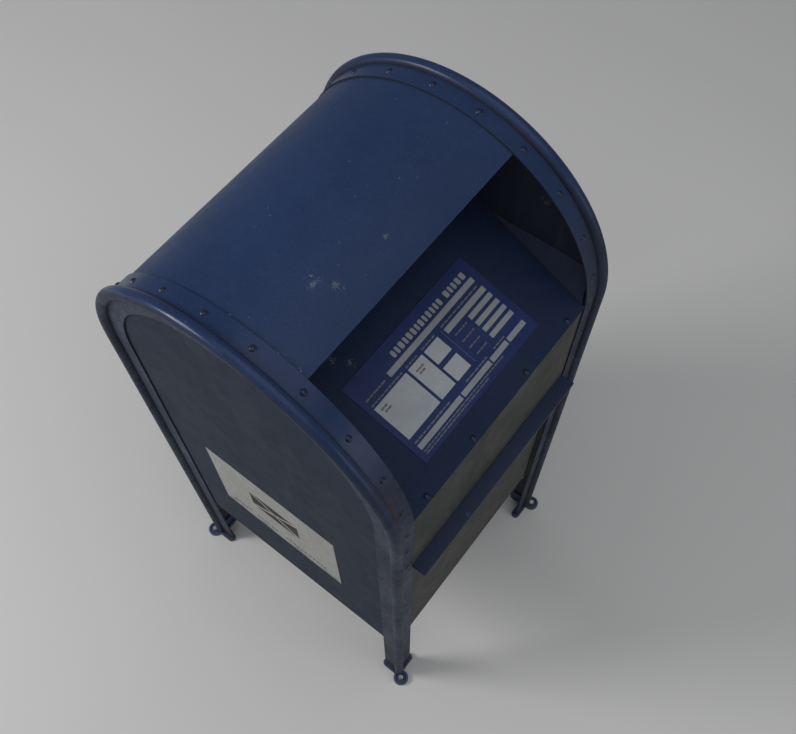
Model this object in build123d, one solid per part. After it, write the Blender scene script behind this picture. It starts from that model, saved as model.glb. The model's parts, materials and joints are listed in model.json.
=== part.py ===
"""Street post box: arched sheet-steel cabinet on four legs, hooded letter hopper, lockable front door.

Frame: +Z up, origin on the ground at the centre of the footprint, the front faces -Y. Millimetres.
"""
from build123d import *
import os
from math import cos, radians, sin, sqrt, tan

# ---- overall body
HALF_W = 233.0          # centre plane to the outer face of a side flange
RIM_R = 251.0           # arch radius, and centre plane to the front and back flange faces
SPRING_Z = 911.0        # height at which the straight walls turn into the arch
BODY_Z = 237.0          # underside of the cabinet
FRAME_T = 2.5           # thickness of the legs and the arch rims
SHEET = 2.0             # thickness of skins and inner sheets
FLANGE_W = 36.0         # width of both flanges of that angle section
BEAD_R = 9.0            # outside radius of the rolled bead on every corner
HOOD_DEG = 114.0        # arc of the hood sheet, measured from the back
HEM_DEG = 7.0           # folded hem on the hood's front edge
LAP_DEG = 5.0           # strip of the back sheet that laps under the hood sheet

# ---- rivets
RIM_PITCH_DEG = 16.73   # angle from one rim rivet to the next
RIM_FIRST_DEG = 15.04
RIVET_HEAD_R = 4.6
RIVET_HEAD_H = 2.6
RIVET_SHANK_R = 2.4
RIVET_HOLE_R = 2.5
RIVET_TAIL_R = 3.8

# ---- hopper
SLOPE_DEG = 16.21       # rise of the letter plate towards the back
PLATE_FRONT_Y = -250.7
PLATE_FRONT_Z = 921.7
PLATE_T = 2.5
PLATE_BACK_Y = -20.0
HOPPER_X = 217.0        # centre plane to the hopper's inner side walls
SLOT_H = 32.0           # height of the letter slot
SLOT_WALL_Y = -32.0     # front face of the wall above the slot
FLAP_Y = -24.0          # hinge line of the slot flap
FLAP_PIN_R = 2.5
FLAP_T = 1.5
FLAP_HALF = 199.0

# ---- ledge and front door
LEDGE_TOP = 711.0
LEDGE_T = 4.0
LEDGE_FRONT_Y = -273.5
LEDGE_HALF = 196.0
LEDGE_CORNER_R = 2.5
DOOR_HALF = 195.5
DOOR_Z = (249.0, 705.0)
DOOR_Y = -241.0         # outer face of the door
DOOR_DEPTH = 18.0
DOOR_T = 1.8
SILL_TOP = 247.0
JAMB_BACK_Y = -219.0
RAIL_BACK_Y = -203.0    # back edge of the sill and of the ledge's inner shelf
PIVOT = (189.5, -236.0) # vertical hinge line of the door
PIN_R = 3.0
RUN = 0.05              # radial running clearance of the pins

# ---- lock and locking rods
LOCK = (-150.0, 640.0)  # x and z of the lock's axis
DISC_Y = (-217.5, -214.5)
CRANK_R = 9.0           # lock axis to each crank pin
CRANK_PIN_R = 2.5
YOKE_Y = (-213.7, -211.2)
ROD_R = 4.0
ROD_SIDE = 8.0          # sideways offset of each rod from the lock's axis
ROD_HOLE_R = 7.0        # holes in the ledge and the sill that the rods shoot into
ROD_TOP = 704.5
ROD_BOTTOM = 251.5

# ---- feet
FOOT_T = 8.0
ANCHOR = (241.0, 262.0) # anchor hole, each way from the centre
ANCHOR_HOLE_R = 5.5
PAD_R = 15.0            # round pad about each anchor hole
DISH_R = 11.0           # dish in the pad for the bolt's washer
DISH_DEPTH = 2.5

ROD_Y = sum(YOKE_Y) / 2
FLANGE_IN = HALF_W - FLANGE_W
SKIN_R = RIM_R - FRAME_T            # outer radius of the sheets behind the flanges
LINER_R = SKIN_R - SHEET            # inner radius of those sheets
SKIN_HALF = HALF_W - BEAD_R - 1.0   # half width of sheets that stop short of the bead
RISE = tan(radians(SLOPE_DEG))
SLOPE = Plane(
    origin=(0, PLATE_FRONT_Y, PLATE_FRONT_Z),
    x_dir=(1, 0, 0),
    z_dir=(0, -sin(radians(SLOPE_DEG)), cos(radians(SLOPE_DEG))),
)
ARCH_AXIS = Axis((0, 0, SPRING_Z), (1, 0, 0))


# ---------------------------------------------------------------- helpers
def block(x, y, z):
    """Box between the given low and high values on each axis."""
    size = [high - low for low, high in (x, y, z)]
    centre = [(high + low) / 2 for low, high in (x, y, z)]
    return Pos(*centre) * Box(*size)


def rod_z(r, x, y, z):
    return Pos(x, y, (z[0] + z[1]) / 2) * Cylinder(r, z[1] - z[0])


def rod_y(r, x, y, z):
    return Pos(x, (y[0] + y[1]) / 2, z) * Rot(90, 0, 0) * Cylinder(r, y[1] - y[0])


def rod_x(r, x, y, z):
    return Pos((x[0] + x[1]) / 2, y, z) * Rot(0, 90, 0) * Cylinder(r, x[1] - x[0])


def plate_z(y):
    """Height of the letter plate's top face at a depth y."""
    return PLATE_FRONT_Z + (y - PLATE_FRONT_Y) * RISE


def on_slope(x, v, w):
    """Box in the letter plate's own axes: across, up the slope, and out of its top face."""
    return SLOPE * block(x, v, w)


def arch_strip(x, r, start, stop):
    """Curved strip between two radii, swept between two angles measured from the back."""
    section = Plane.XY.offset(SPRING_Z) * Pos(sum(x) / 2, sum(r) / 2) * Rectangle(x[1] - x[0], r[1] - r[0])
    return revolve(section, ARCH_AXIS, stop - start).rotate(ARCH_AXIS, start)


def mirrored(shape):
    return mirror(shape, about=Plane.YZ)


def group(shapes):
    return Compound(children=list(shapes))


# ---------------------------------------------------------------- rivets
def rivet(grip):
    """Domed rivet whose head stands on z = 0, with its upset tail just under the grip."""
    grip += 0.05
    ball_r = (RIVET_HEAD_R ** 2 + RIVET_HEAD_H ** 2) / (2 * RIVET_HEAD_H)
    dome = Pos(0, 0, RIVET_HEAD_H - ball_r) * Sphere(ball_r)
    dome &= Pos(0, 0, RIVET_HEAD_H / 2) * Cylinder(RIVET_HEAD_R, RIVET_HEAD_H)
    shank = rod_z(RIVET_SHANK_R, 0, 0, (-grip, 0))
    tail = rod_z(RIVET_TAIL_R, 0, 0, (-grip - 1.6, -grip))
    return dome + shank + tail


def arch_place(x, r, angle):
    """Plane on the arch at an angle measured from the back, with its z axis pointing outwards."""
    out = (0, cos(radians(angle)), sin(radians(angle)))
    return Plane(origin=(x, r * out[1], SPRING_Z + r * out[2]), z_dir=out)


def rim_places(x):
    """Planes of the rivets round one rim: up the back, over the arch and down to the ledge."""
    pitch = RIM_R * radians(RIM_PITCH_DEG)
    places = []
    below = SPRING_Z - (pitch - RIM_R * radians(RIM_FIRST_DEG))
    while below > BODY_Z + 12:
        places.append(Plane(origin=(x, RIM_R, below), z_dir=(0, 1, 0)))
        below -= pitch
    angle = RIM_FIRST_DEG
    while angle < 176:
        places.append(arch_place(x, RIM_R, angle))
        angle += RIM_PITCH_DEG
    below = SPRING_Z - RIM_R * radians(angle - 180)
    while below > LEDGE_TOP + 30:
        places.append(Plane(origin=(x, -RIM_R, below), z_dir=(0, -1, 0)))
        below -= pitch
    return places


RIVET_X = 211.0
RIM_RIVETS = rim_places(RIVET_X)
RIM_HOLES = [place * Cylinder(RIVET_HOLE_R, 16) for place in RIM_RIVETS]
PLATE_RIVET_X = (-161.0, -61.0, 61.0, 161.0)
PLATE_RIVET_V = 7.6
PLATE_RIVETS = [SLOPE * Pos(x, PLATE_RIVET_V, 0) for x in PLATE_RIVET_X]
PLATE_HOLES = [place * Cylinder(RIVET_HOLE_R, 16) for place in PLATE_RIVETS]
SEAM_RIVET_X = (-175.0, -105.0, -35.0, 35.0, 105.0, 175.0)
SEAM_RIVETS = [arch_place(x, SKIN_R, LAP_DEG / 2) for x in SEAM_RIVET_X]
SEAM_HOLES = [place * Cylinder(RIVET_HOLE_R, 16) for place in SEAM_RIVETS]


# ---------------------------------------------------------------- cabinet shell
def frame_section():
    """Angle section at the front right corner, with the rolled bead on the corner."""
    corner = Pos(HALF_W, -RIM_R)
    face = Pos(HALF_W - FLANGE_W / 2, -RIM_R + FRAME_T / 2) * Rectangle(FLANGE_W, FRAME_T)
    side = Pos(HALF_W - FRAME_T / 2, -RIM_R + FLANGE_W / 2) * Rectangle(FRAME_T, FLANGE_W)
    bead = Circle(BEAD_R) - Circle(BEAD_R - FRAME_T)
    return (face + side - corner * Circle(BEAD_R)) + corner * bead


def leg():
    """Front right leg: the angle section from the foot up to the spring line."""
    post = extrude(Pos(0, 0, FOOT_T) * frame_section(), SPRING_Z - FOOT_T)
    return post - rod_z(12.5, ANCHOR[0], -ANCHOR[1], (FOOT_T, FOOT_T + 17))


def front_leg():
    return leg() - RIM_HOLES


def back_leg():
    return mirror(leg(), about=Plane.XZ) - RIM_HOLES


def arch_rim():
    """The same angle section rolled over the arch and welded to both legs."""
    arch = revolve(Pos(0, 0, SPRING_Z) * frame_section(), Axis((0, 0, SPRING_Z), (-1, 0, 0)), 180)
    return arch - RIM_HOLES


def side_panel():
    outer = HALF_W - FRAME_T
    radius = RIM_R - BEAD_R - 2
    x = (outer - SHEET, outer)
    return block(x, (-radius, radius), (BODY_Z, SPRING_Z)) + rod_x(radius, x, 0, SPRING_Z)


def all_rim_holes():
    return RIM_HOLES + [mirrored(hole) for hole in RIM_HOLES]


def hood_sheet():
    """Curved sheet from the back over the top, ending in the hood's folded front hem."""
    sheet = arch_strip((-SKIN_HALF, SKIN_HALF), (LINER_R, SKIN_R), 0, HOOD_DEG)
    hem_x = (-FLANGE_IN + 1, FLANGE_IN - 1)
    hem = arch_strip(hem_x, (LINER_R - SHEET, LINER_R), HOOD_DEG - HEM_DEG, HOOD_DEG)
    return sheet + hem - all_rim_holes() - SEAM_HOLES


def back_sheet():
    """Flat back; its joggled top edge laps under the hood sheet."""
    back = block((-SKIN_HALF, SKIN_HALF), (LINER_R, SKIN_R), (BODY_Z, SPRING_Z))
    lap_x = (-FLANGE_IN + 2, FLANGE_IN - 2)
    lap = block(lap_x, (LINER_R - SHEET, LINER_R), (SPRING_Z - 9, SPRING_Z))
    lap += arch_strip(lap_x, (LINER_R - SHEET, LINER_R), 0, LAP_DEG)
    return back + lap - all_rim_holes() - SEAM_HOLES


def front_apron():
    """Fixed front sheet between the ledge and the letter plate, folded back under the plate."""
    y = (-SKIN_R, -LINER_R)
    between = FLANGE_IN - 1.5
    wall = block((-SKIN_HALF, SKIN_HALF), y, (LEDGE_TOP, SPRING_Z))
    wall += block((-between, between), y, (SPRING_Z, PLATE_FRONT_Z + 10))
    wall -= on_slope((-300, 300), (-50, 100), (-PLATE_T, 60))
    fold = on_slope((-FLANGE_IN + 2, FLANGE_IN - 2), (3.0, 24.0), (-PLATE_T - SHEET, -PLATE_T))
    return wall + fold - PLATE_HOLES - all_rim_holes()


def floor_pan():
    """Bottom tray with upturned edges and drain holes."""
    side = HALF_W - FRAME_T - SHEET
    depth = RIM_R - BEAD_R - 2
    z = (BODY_Z, BODY_Z + SHEET)
    up = (BODY_Z, BODY_Z + 20)
    inner = SKIN_HALF - 1
    pan = block((-side, side), (RAIL_BACK_Y, depth), z)
    pan += block((-inner, inner), (depth, LINER_R), z)
    pan += block((-inner, inner), (LINER_R - SHEET, LINER_R), up)
    pan += block((-side, side), (RAIL_BACK_Y, RAIL_BACK_Y + SHEET), up)
    for x in ((-side, -side + SHEET), (side - SHEET, side)):
        pan += block(x, (RAIL_BACK_Y, depth), up)
    drains = [rod_z(5, x, y, (BODY_Z - 1, BODY_Z + 4)) for x in (-150, 150) for y in (-150, 170)]
    return pan - drains


def foot():
    """Cast foot under the right front leg: two arms, a dished anchor pad and upstands inside the angle."""
    arm_end = 8.5
    outer_x = HALF_W + 9
    outer_y = RIM_R + 6
    z = (0, FOOT_T)
    plate = block((FLANGE_IN - 7 + arm_end, outer_x), (-outer_y, -outer_y + 2 * arm_end), z)
    plate += rod_z(arm_end, FLANGE_IN - 7 + arm_end, -outer_y + arm_end, z)
    plate += block((outer_x - 2 * arm_end, outer_x), (-outer_y, -RIM_R + 30), z)
    plate += rod_z(arm_end, outer_x - arm_end, -RIM_R + 30, z)
    plate += rod_z(PAD_R, ANCHOR[0], -ANCHOR[1], z)
    plate = fillet(plate.edges().group_by(Axis.Z)[-1], 1.5)
    plate -= rod_z(DISH_R, ANCHOR[0], -ANCHOR[1], (FOOT_T - DISH_DEPTH, FOOT_T + 1))
    inner = -SKIN_R
    side = HALF_W - FRAME_T
    plate += block((FLANGE_IN + 3, side - 10), (inner, inner + 4), (FOOT_T - 2, FOOT_T + 30))
    plate += block((side - 4, side), (-RIM_R + 12, -RIM_R + 33), (FOOT_T - 2, FOOT_T + 30))
    return plate - rod_z(ANCHOR_HOLE_R, ANCHOR[0], -ANCHOR[1], (-1, FOOT_T + 1))


# ---------------------------------------------------------------- hopper
def hopper_plate():
    """Sloping letter plate: its nose stands between the flanges, the rest reaches the side walls."""
    length = (PLATE_BACK_Y - PLATE_FRONT_Y) / cos(radians(SLOPE_DEG))
    nose = 5.0
    plate = on_slope((-FLANGE_IN + 0.5, FLANGE_IN - 0.5), (0, nose), (-PLATE_T, 0))
    plate += on_slope((-HOPPER_X, HOPPER_X), (nose, length), (-PLATE_T, 0))
    return plate - PLATE_HOLES


def hopper_cheek():
    """Leaning triangular gusset that closes the corner of letter plate and right-hand side wall."""
    front = Vector(FLANGE_IN, -244.5, plate_z(-244.5))
    back = Vector(HOPPER_X, -75, plate_z(-75))
    top = Vector(HOPPER_X, -235, 980)
    inward = (top - front).cross(back - front).normalized()
    face = make_face(Polyline(front, back, top, close=True))
    return extrude(face, 1.5, dir=inward)


def hopper_side():
    """Right-hand inner wall of the hopper, with the curved flange that the rim rivets hold."""
    x = (HOPPER_X, HOPPER_X + SHEET)
    wall = rod_x(LINER_R, x, 0, SPRING_Z) & block(x, (-RIM_R, 10), (SPRING_Z - 6, SPRING_Z + RIM_R))
    lip = arch_strip((FLANGE_IN + 3, x[1]), (LINER_R, SKIN_R), HOOD_DEG + 0.3, 177.2)
    return wall + lip - RIM_HOLES


SLOT_TOP = plate_z(SLOT_WALL_Y) + SLOT_H
FLAP_Z = SLOT_TOP + 7.0


def hopper_back():
    """Wall above the letter slot, with an ear at each end for the flap's pin."""
    x = (-HOPPER_X, HOPPER_X)
    wall = block(x, (SLOT_WALL_Y, SLOT_WALL_Y + SHEET), (SLOT_TOP, SPRING_Z + RIM_R))
    wall &= rod_x(LINER_R, x, 0, SPRING_Z)
    for side in (-1, 1):
        ear_x = sorted((side * (FLAP_HALF + 1.5), side * (FLAP_HALF + 4.0)))
        wall += block(ear_x, (SLOT_WALL_Y + SHEET, FLAP_Y + 8), (FLAP_Z - 6, FLAP_Z + 10))
    return wall - rod_x(FLAP_PIN_R + RUN, (-HOPPER_X, HOPPER_X), FLAP_Y, FLAP_Z)


def slot_flap():
    """Flap that hangs behind the letter slot on a rolled knuckle."""
    x = (-FLAP_HALF, FLAP_HALF)
    leaf = block(x, (FLAP_Y - FLAP_T / 2, FLAP_Y + FLAP_T / 2), (plate_z(FLAP_Y) + 3, FLAP_Z))
    edge = rod_x(1.8, x, FLAP_Y, plate_z(FLAP_Y) + 4)
    knuckle = rod_x(FLAP_PIN_R + 1.8, x, FLAP_Y, FLAP_Z)
    return leaf + edge + knuckle - rod_x(FLAP_PIN_R + RUN, x, FLAP_Y, FLAP_Z)


def flap_pin():
    reach = FLAP_HALF + 7
    pin = rod_x(FLAP_PIN_R, (-reach, reach), FLAP_Y, FLAP_Z)
    return pin + rod_x(4, (reach, reach + 2), FLAP_Y, FLAP_Z)


def baffle_plate():
    """Sloping plate under the slot that throws letters forward and keeps hands out."""
    back_y = LINER_R
    top_z = 872.0
    reach = 190.0
    drop = 105.0
    x = (-RIVET_X + 6, RIVET_X - 6)
    tilt = Plane(origin=(0, back_y - 1, top_z), x_dir=(1, 0, 0), z_dir=(0, -drop, reach))
    slab = tilt * block(x, (-sqrt(reach ** 2 + drop ** 2), 0), (-1.5, 0))
    return slab + block(x, (back_y - 1.5, back_y), (top_z - 1, top_z + 28))


def notice_plate():
    """Thin rectangular notice on the letter plate."""
    return on_slope((-128.5, 128.5), (34.5, 178.0), (0, 0.8))


def side_badge():
    """Thin rectangular sign on the right-hand side panel."""
    x = (HALF_W - FRAME_T, HALF_W - FRAME_T + 0.5)
    return block(x, (-124.0, 142.0), (414.0, 646.0))


# ---------------------------------------------------------------- door opening
def drip_ledge():
    """Rain ledge over the door; its inner shelf is the door's header and carries the top pin."""
    z = (LEDGE_TOP - LEDGE_T, LEDGE_TOP)
    lip = block((-LEDGE_HALF, LEDGE_HALF), (LEDGE_FRONT_Y, -LINER_R), z)
    corners = lip.edges().filter_by(Axis.Z).group_by(Axis.Y)[0]
    lip = fillet(corners, LEDGE_CORNER_R)
    lip = fillet(lip.edges().group_by(Axis.Z)[-1] + lip.edges().group_by(Axis.Z)[0], 1.4)
    shelf = block((-LEDGE_HALF - 2, LEDGE_HALF + 2), (-LINER_R - 1, RAIL_BACK_Y), z)
    upstand = block((-LEDGE_HALF, LEDGE_HALF), (-LINER_R, -LINER_R + SHEET), (LEDGE_TOP - 1, LEDGE_TOP + 24))
    ledge = lip + shelf + upstand
    ledge -= rod_z(PIN_R + RUN, *PIVOT, (z[0] - 1, z[1] + 1))
    return ledge - rod_z(ROD_HOLE_R, LOCK[0] + ROD_SIDE, ROD_Y, (z[0] - 1, z[1] + 1))


def door_sill():
    """Bottom rail of the door opening; it carries the bottom pin and takes the lower locking rod."""
    half = LEDGE_HALF + 2
    rail = block((-half, half), (DOOR_Y, RAIL_BACK_Y), (SILL_TOP - SHEET, SILL_TOP))
    rail += block((-half, half), (DOOR_Y, DOOR_Y + SHEET), (BODY_Z, SILL_TOP))
    rail += block((-half, half), (RAIL_BACK_Y - SHEET, RAIL_BACK_Y), (BODY_Z, SILL_TOP))
    rail += rod_z(PIN_R + 4, *PIVOT, (BODY_Z + 1, SILL_TOP)) - block((0, 300), (-260, DOOR_Y), (200, 260))
    rail -= rod_z(PIN_R + RUN, *PIVOT, (BODY_Z, SILL_TOP + 1))
    return rail - rod_z(ROD_HOLE_R, LOCK[0] - ROD_SIDE, ROD_Y, (SILL_TOP - 4, SILL_TOP + 1))


def door_jamb():
    """Right-hand Z-section behind the frame's flange: it closes the gap and stops the door."""
    z = (SILL_TOP, LEDGE_TOP - LEDGE_T)
    web = (LEDGE_HALF + 2, LEDGE_HALF + 4)
    jamb = block((web[0], SKIN_HALF), (-SKIN_R, -LINER_R), z)
    jamb += block(web, (-SKIN_R, JAMB_BACK_Y), z)
    return jamb + block((LEDGE_HALF - 15, web[1]), (JAMB_BACK_Y - SHEET, JAMB_BACK_Y), z)


# ---------------------------------------------------------------- door and hinge
def access_door():
    """Door pan: flat face with edges folded back all round."""
    x = (-DOOR_HALF, DOOR_HALF)
    y = (DOOR_Y, DOOR_Y + DOOR_DEPTH)
    pan = block(x, y, DOOR_Z)
    pan = fillet(pan.edges().group_by(Axis.Y)[0], 1.2)
    inner_x = (x[0] + DOOR_T, x[1] - DOOR_T)
    inner_z = (DOOR_Z[0] + DOOR_T, DOOR_Z[1] - DOOR_T)
    pan -= block(inner_x, (DOOR_Y + DOOR_T, y[1] + 1), inner_z)
    pan -= rod_z(PIN_R + 0.4, *PIVOT, (DOOR_Z[0] - 1, DOOR_Z[1] + 1))
    return pan - rod_y(14, LOCK[0], (DOOR_Y - 1, DOOR_Y + 3), LOCK[1])


def door_stiffener():
    """Top-hat rib up the middle of the door's inner face."""
    z = (DOOR_Z[0] + 16, DOOR_Z[1] - 16)
    inner = DOOR_Y + DOOR_T
    crown = inner + 13
    rib = block((-22, 22), (crown - 1.5, crown), z)
    for side in (-1, 1):
        rib += block(sorted((side * 20.5, side * 22)), (inner, crown), z)
        rib += block(sorted((side * 20.5, side * 36)), (inner, inner + 1.5), z)
    return rib


def hinge_block(z):
    """Pivot block on the door, bored to run on a hinge pin."""
    x = (PIVOT[0] - 8, DOOR_HALF - DOOR_T)
    shape = block(x, (DOOR_Y + DOOR_T, PIVOT[1] + 6.5), z)
    return shape - rod_z(PIN_R + RUN, *PIVOT, (z[0] - 1, z[1] + 1))


def hinge_pin_top():
    pin = rod_z(PIN_R, *PIVOT, (676, LEDGE_TOP))
    return pin + rod_z(6.5, *PIVOT, (LEDGE_TOP, LEDGE_TOP + 3))


def hinge_pin_bottom():
    return rod_z(PIN_R, *PIVOT, (BODY_Z + 1, 278))


def thrust_washer():
    z = (SILL_TOP, DOOR_Z[0] - 0.3)
    return rod_z(7.5, *PIVOT, z) - rod_z(PIN_R + RUN, *PIVOT, z)


# ---------------------------------------------------------------- lock
COVER_PIVOT_Z = LOCK[1] + 24.0
PLATE_FACE = DOOR_Y - 1.2       # front of the escutcheon
LOCK_FACE = PLATE_FACE - 2.8    # front of the lock housing's collar


def lock_escutcheon():
    y = (PLATE_FACE, DOOR_Y)
    plate = rod_y(21, LOCK[0], y, LOCK[1]) + rod_y(10, LOCK[0], y, COVER_PIVOT_Z)
    plate += block((LOCK[0] - 10, LOCK[0] + 10), y, (LOCK[1], COVER_PIVOT_Z))
    plate -= rod_y(14, LOCK[0], y, LOCK[1])
    return plate - rod_y(2.05, LOCK[0], y, COVER_PIVOT_Z)


def lock_housing():
    """Collar and barrel that hold the key plug."""
    collar = rod_y(17, LOCK[0], (LOCK_FACE, PLATE_FACE), LOCK[1])
    barrel = rod_y(13.8, LOCK[0], (PLATE_FACE, -219), LOCK[1])
    return collar + barrel - rod_y(8 + RUN, LOCK[0], (LOCK_FACE - 1, -218), LOCK[1])


def lock_nut():
    """Hexagon nut that clamps the housing to the door."""
    hexagon = extrude(RegularPolygon(21, 6), 6)
    nut = Pos(LOCK[0], DOOR_Y + DOOR_T, LOCK[1]) * Rot(-90, 0, 0) * hexagon
    return nut - rod_y(13.85, LOCK[0], (DOOR_Y, DOOR_Y + 12), LOCK[1])


def lock_plug():
    """Key plug with its keyway; its stub carries the crank disc."""
    plug = rod_y(8, LOCK[0], (LOCK_FACE + 0.2, DISC_Y[0]), LOCK[1])
    plug += rod_y(5, LOCK[0], DISC_Y, LOCK[1])
    slot = (LOCK[1] - 4.5, LOCK[1] + 4.5)
    return plug - block((LOCK[0] - 1.1, LOCK[0] + 1.1), (LOCK_FACE - 1, LOCK_FACE + 14), slot)


def crank_places():
    """Crank pins in the unlocked position: the upper rod's below the axis, the lower rod's above it."""
    reach = CRANK_R * cos(radians(45))
    return [(LOCK[0] + reach, LOCK[1] - reach), (LOCK[0] - reach, LOCK[1] + reach)]


def crank_disc():
    disc = rod_y(17, LOCK[0], DISC_Y, LOCK[1]) - rod_y(5, LOCK[0], DISC_Y, LOCK[1])
    for x, z in crank_places():
        disc += rod_y(CRANK_PIN_R, x, (DISC_Y[0], YOKE_Y[1] + 2), z)
    return disc


def locking_rod(side):
    """Rod with a cross slot that a crank pin drives; side is +1 for the upper rod, -1 for the lower."""
    x = LOCK[0] + side * ROD_SIDE
    z = LOCK[1] - side * CRANK_R * cos(radians(45))
    yoke = block((x - 7, x + 7), YOKE_Y, (z - 6.5, z + 6.5))
    slot = block((x - 4.9, x + 4.9), (YOKE_Y[0] - 1, YOKE_Y[1] + 1), (z - 2.95, z + 2.95))
    end = ROD_TOP if side > 0 else ROD_BOTTOM
    bar = rod_z(ROD_R, x, ROD_Y, sorted((z + side * 5.5, end)))
    bar -= block((x - 9, x + 9), (YOKE_Y[0] - 8, YOKE_Y[0]), (z - 26, z + 26))
    return yoke - slot + (bar - slot)


def rod_guide(side):
    """Bored block on the door's inner face that guides a locking rod."""
    x = LOCK[0] + side * ROD_SIDE
    z = (674, 684) if side > 0 else (284, 294)
    guide = block((x - 8, x + 8), (DOOR_Y + DOOR_T, ROD_Y + 7), z)
    return guide - rod_z(ROD_R + RUN, x, ROD_Y, (z[0] - 1, z[1] + 1))


def keyhole_cover():
    """Drop-shaped cover that hangs over the keyhole."""
    y = (LOCK_FACE - 2.0, LOCK_FACE - 0.4)
    cover = rod_y(12.5, LOCK[0], y, LOCK[1]) + rod_y(6, LOCK[0], y, COVER_PIVOT_Z)
    cover += block((LOCK[0] - 6, LOCK[0] + 6), y, (LOCK[1], COVER_PIVOT_Z))
    return cover - rod_y(2 + RUN, LOCK[0], (y[0] - 1, y[1] + 1), COVER_PIVOT_Z)


def cover_rivet():
    """Shouldered rivet that the keyhole cover swings on."""
    shape = rod_y(2, LOCK[0], (LOCK_FACE - 2.3, DOOR_Y), COVER_PIVOT_Z)
    shape += rod_y(3.6, LOCK[0], (LOCK_FACE - 0.1, PLATE_FACE), COVER_PIVOT_Z)
    return shape + rod_y(3.8, LOCK[0], (LOCK_FACE - 4.0, LOCK_FACE - 2.3), COVER_PIVOT_Z)


# ---------------------------------------------------------------- assembly
def corner_copies(shape):
    """The right front foot and its three mirror images."""
    back = mirror(shape, about=Plane.XZ)
    return {
        "foot_front_right": shape,
        "foot_front_left": mirrored(shape),
        "foot_back_right": back,
        "foot_back_left": mirrored(back),
    }


def build_nodes():
    nodes = {}
    for name, shape in (
        ("front_leg", front_leg()),
        ("back_leg", back_leg()),
        ("arch_rim", arch_rim()),
        ("side_panel", side_panel()),
        ("hopper_cheek", hopper_cheek()),
        ("hopper_side", hopper_side()),
        ("door_jamb", door_jamb()),
        ("side_badge", side_badge()),
    ):
        nodes[name + "_right"] = shape
        nodes[name + "_left"] = mirrored(shape)
    rim = [place * rivet(FRAME_T + SHEET) for place in RIM_RIVETS]
    nodes["rim_rivets_right"] = group(rim)
    nodes["rim_rivets_left"] = group(mirrored(one) for one in rim)
    nodes["plate_rivets"] = group(place * rivet(PLATE_T + SHEET) for place in PLATE_RIVETS)
    nodes["seam_rivets"] = group(place * rivet(2 * SHEET) for place in SEAM_RIVETS)
    nodes["hood_sheet"] = hood_sheet()
    nodes["back_sheet"] = back_sheet()
    nodes["front_apron"] = front_apron()
    nodes["floor_pan"] = floor_pan()
    nodes["drip_ledge"] = drip_ledge()
    nodes["door_sill"] = door_sill()
    nodes["hopper_plate"] = hopper_plate()
    nodes["hopper_back"] = hopper_back()
    nodes["baffle_plate"] = baffle_plate()
    nodes["notice_plate"] = notice_plate()
    nodes["slot_flap"] = slot_flap()
    nodes["flap_pin"] = flap_pin()
    nodes.update(corner_copies(foot()))
    nodes["access_door"] = access_door()
    nodes["door_stiffener"] = door_stiffener()
    nodes["hinge_block_top"] = hinge_block((673, DOOR_Z[1] - DOOR_T))
    nodes["hinge_block_bottom"] = hinge_block((DOOR_Z[0] + DOOR_T, 281))
    nodes["hinge_pin_top"] = hinge_pin_top()
    nodes["hinge_pin_bottom"] = hinge_pin_bottom()
    nodes["thrust_washer"] = thrust_washer()
    nodes["lock_escutcheon"] = lock_escutcheon()
    nodes["lock_housing"] = lock_housing()
    nodes["lock_nut"] = lock_nut()
    nodes["lock_plug"] = lock_plug()
    nodes["crank_disc"] = crank_disc()
    nodes["locking_rod_upper"] = locking_rod(1)
    nodes["locking_rod_lower"] = locking_rod(-1)
    nodes["rod_guide_upper"] = rod_guide(1)
    nodes["rod_guide_lower"] = rod_guide(-1)
    nodes["keyhole_cover"] = keyhole_cover()
    nodes["cover_rivet"] = cover_rivet()
    return nodes


def main():
    os.makedirs("parts", exist_ok=True)
    for name, shape in build_nodes().items():
        export_step(shape, os.path.join("parts", name + ".step"))


main()
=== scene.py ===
# Looks of the street post box: paint, print, anchor bolts, floor, light and camera. Metres.
import json
import math
import random

import bmesh
import bpy
from mathutils import Matrix, Vector


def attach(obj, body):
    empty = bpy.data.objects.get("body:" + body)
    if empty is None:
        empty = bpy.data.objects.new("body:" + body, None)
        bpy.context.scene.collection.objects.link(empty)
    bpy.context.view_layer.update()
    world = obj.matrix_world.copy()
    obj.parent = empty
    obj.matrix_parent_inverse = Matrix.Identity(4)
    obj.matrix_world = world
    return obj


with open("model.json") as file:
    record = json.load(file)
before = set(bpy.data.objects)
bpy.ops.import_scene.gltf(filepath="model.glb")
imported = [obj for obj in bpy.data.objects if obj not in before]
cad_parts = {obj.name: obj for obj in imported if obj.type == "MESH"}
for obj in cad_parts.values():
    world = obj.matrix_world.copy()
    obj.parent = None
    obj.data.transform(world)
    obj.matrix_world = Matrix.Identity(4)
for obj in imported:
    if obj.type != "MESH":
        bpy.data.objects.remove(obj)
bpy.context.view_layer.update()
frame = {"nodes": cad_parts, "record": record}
NODES = frame["nodes"]

MM = 0.001
FILM = 0.06  # thickness of a printed block, mm
INK_FILM = 0.05
SUNK = 0.02  # how far print starts below its surface, mm
WASHER_T = 1.3
LATHE_STEPS = 64
HEX_STEPS = 48
HEX_TURN = math.radians(17)
LEFT, RIGHT, UP = (-1, 0, 0), (1, 0, 0), (0, 0, 1)

# ---- colours, linear
NAVY = (0.026, 0.058, 0.165)
DUST = (0.100, 0.104, 0.098)
DUST_BLUE = (0.070, 0.082, 0.108)
# Dark colour of dirt spots, and of the painted shade in corners
GRIME_AND_SHADE = (0.020, 0.019, 0.018)
MUD = (0.060, 0.050, 0.040)
PRIMER = (0.34, 0.36, 0.38)
RUST = (0.070, 0.032, 0.016)
NOTICE_BLUE = (0.013, 0.030, 0.125)
PRINT_WHITE = (0.40, 0.43, 0.465)
BADGE_WHITE = (0.36, 0.365, 0.35)
INK = (0.030, 0.028, 0.027)
ZINC = (0.42, 0.43, 0.44)
BRASS = (0.40, 0.28, 0.11)

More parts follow.
